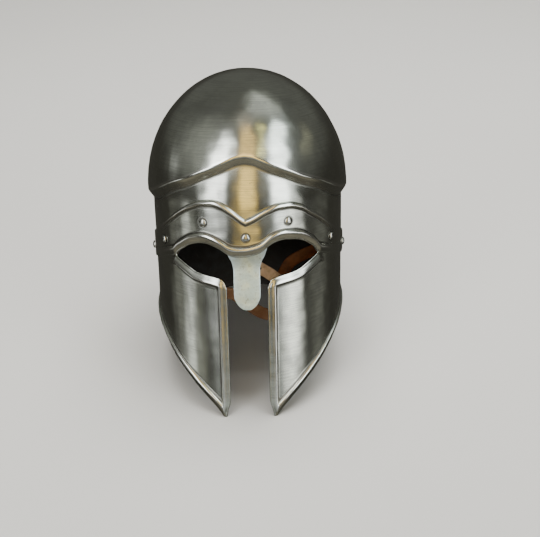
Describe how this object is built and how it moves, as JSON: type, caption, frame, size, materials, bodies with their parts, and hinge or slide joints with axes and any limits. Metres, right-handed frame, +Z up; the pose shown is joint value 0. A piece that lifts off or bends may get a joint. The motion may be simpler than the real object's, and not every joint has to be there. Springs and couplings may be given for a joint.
{
  "type": "corinthian helmet",
  "caption": "Steel helmet with a stepped dome, riveted brow plate, nose strip, long cheek pieces, flared neck guard and an inner leather chin strap.",
  "frame": {"origin": "middle of the bounding box, at the level of the surface it stands on", "axes": "+Z up, -Y out of the face, +X to the viewer's right when looking at the face"},
  "size_m": [0.2052, 0.2818, 0.3045],
  "materials": {
    "polished_steel": "brushed and polished",
    "plate_steel": "brushed and polished",
    "plain_steel": "dull, lightly pitted",
    "rivet_steel": "polished",
    "buckle_steel": "plain wire",
    "brown_leather": "smooth brown",
    "tan_leather": "smooth tan"
  },
  "bodies": {
    "root": {"shell": "polished_steel", "brow_plate": "plate_steel", "nasal": "plain_steel", "rivet_centre": "rivet_steel", "rivet_inner_l": "rivet_steel", "rivet_inner_r": "rivet_steel", "rivet_outer_l": "rivet_steel", "rivet_outer_r": "rivet_steel", "rivet_end_l": "rivet_steel", "rivet_end_r": "rivet_steel", "strap_a": "brown_leather", "strap_b": "tan_leather", "buckle": "buckle_steel"}
  },
  "joints": []
}
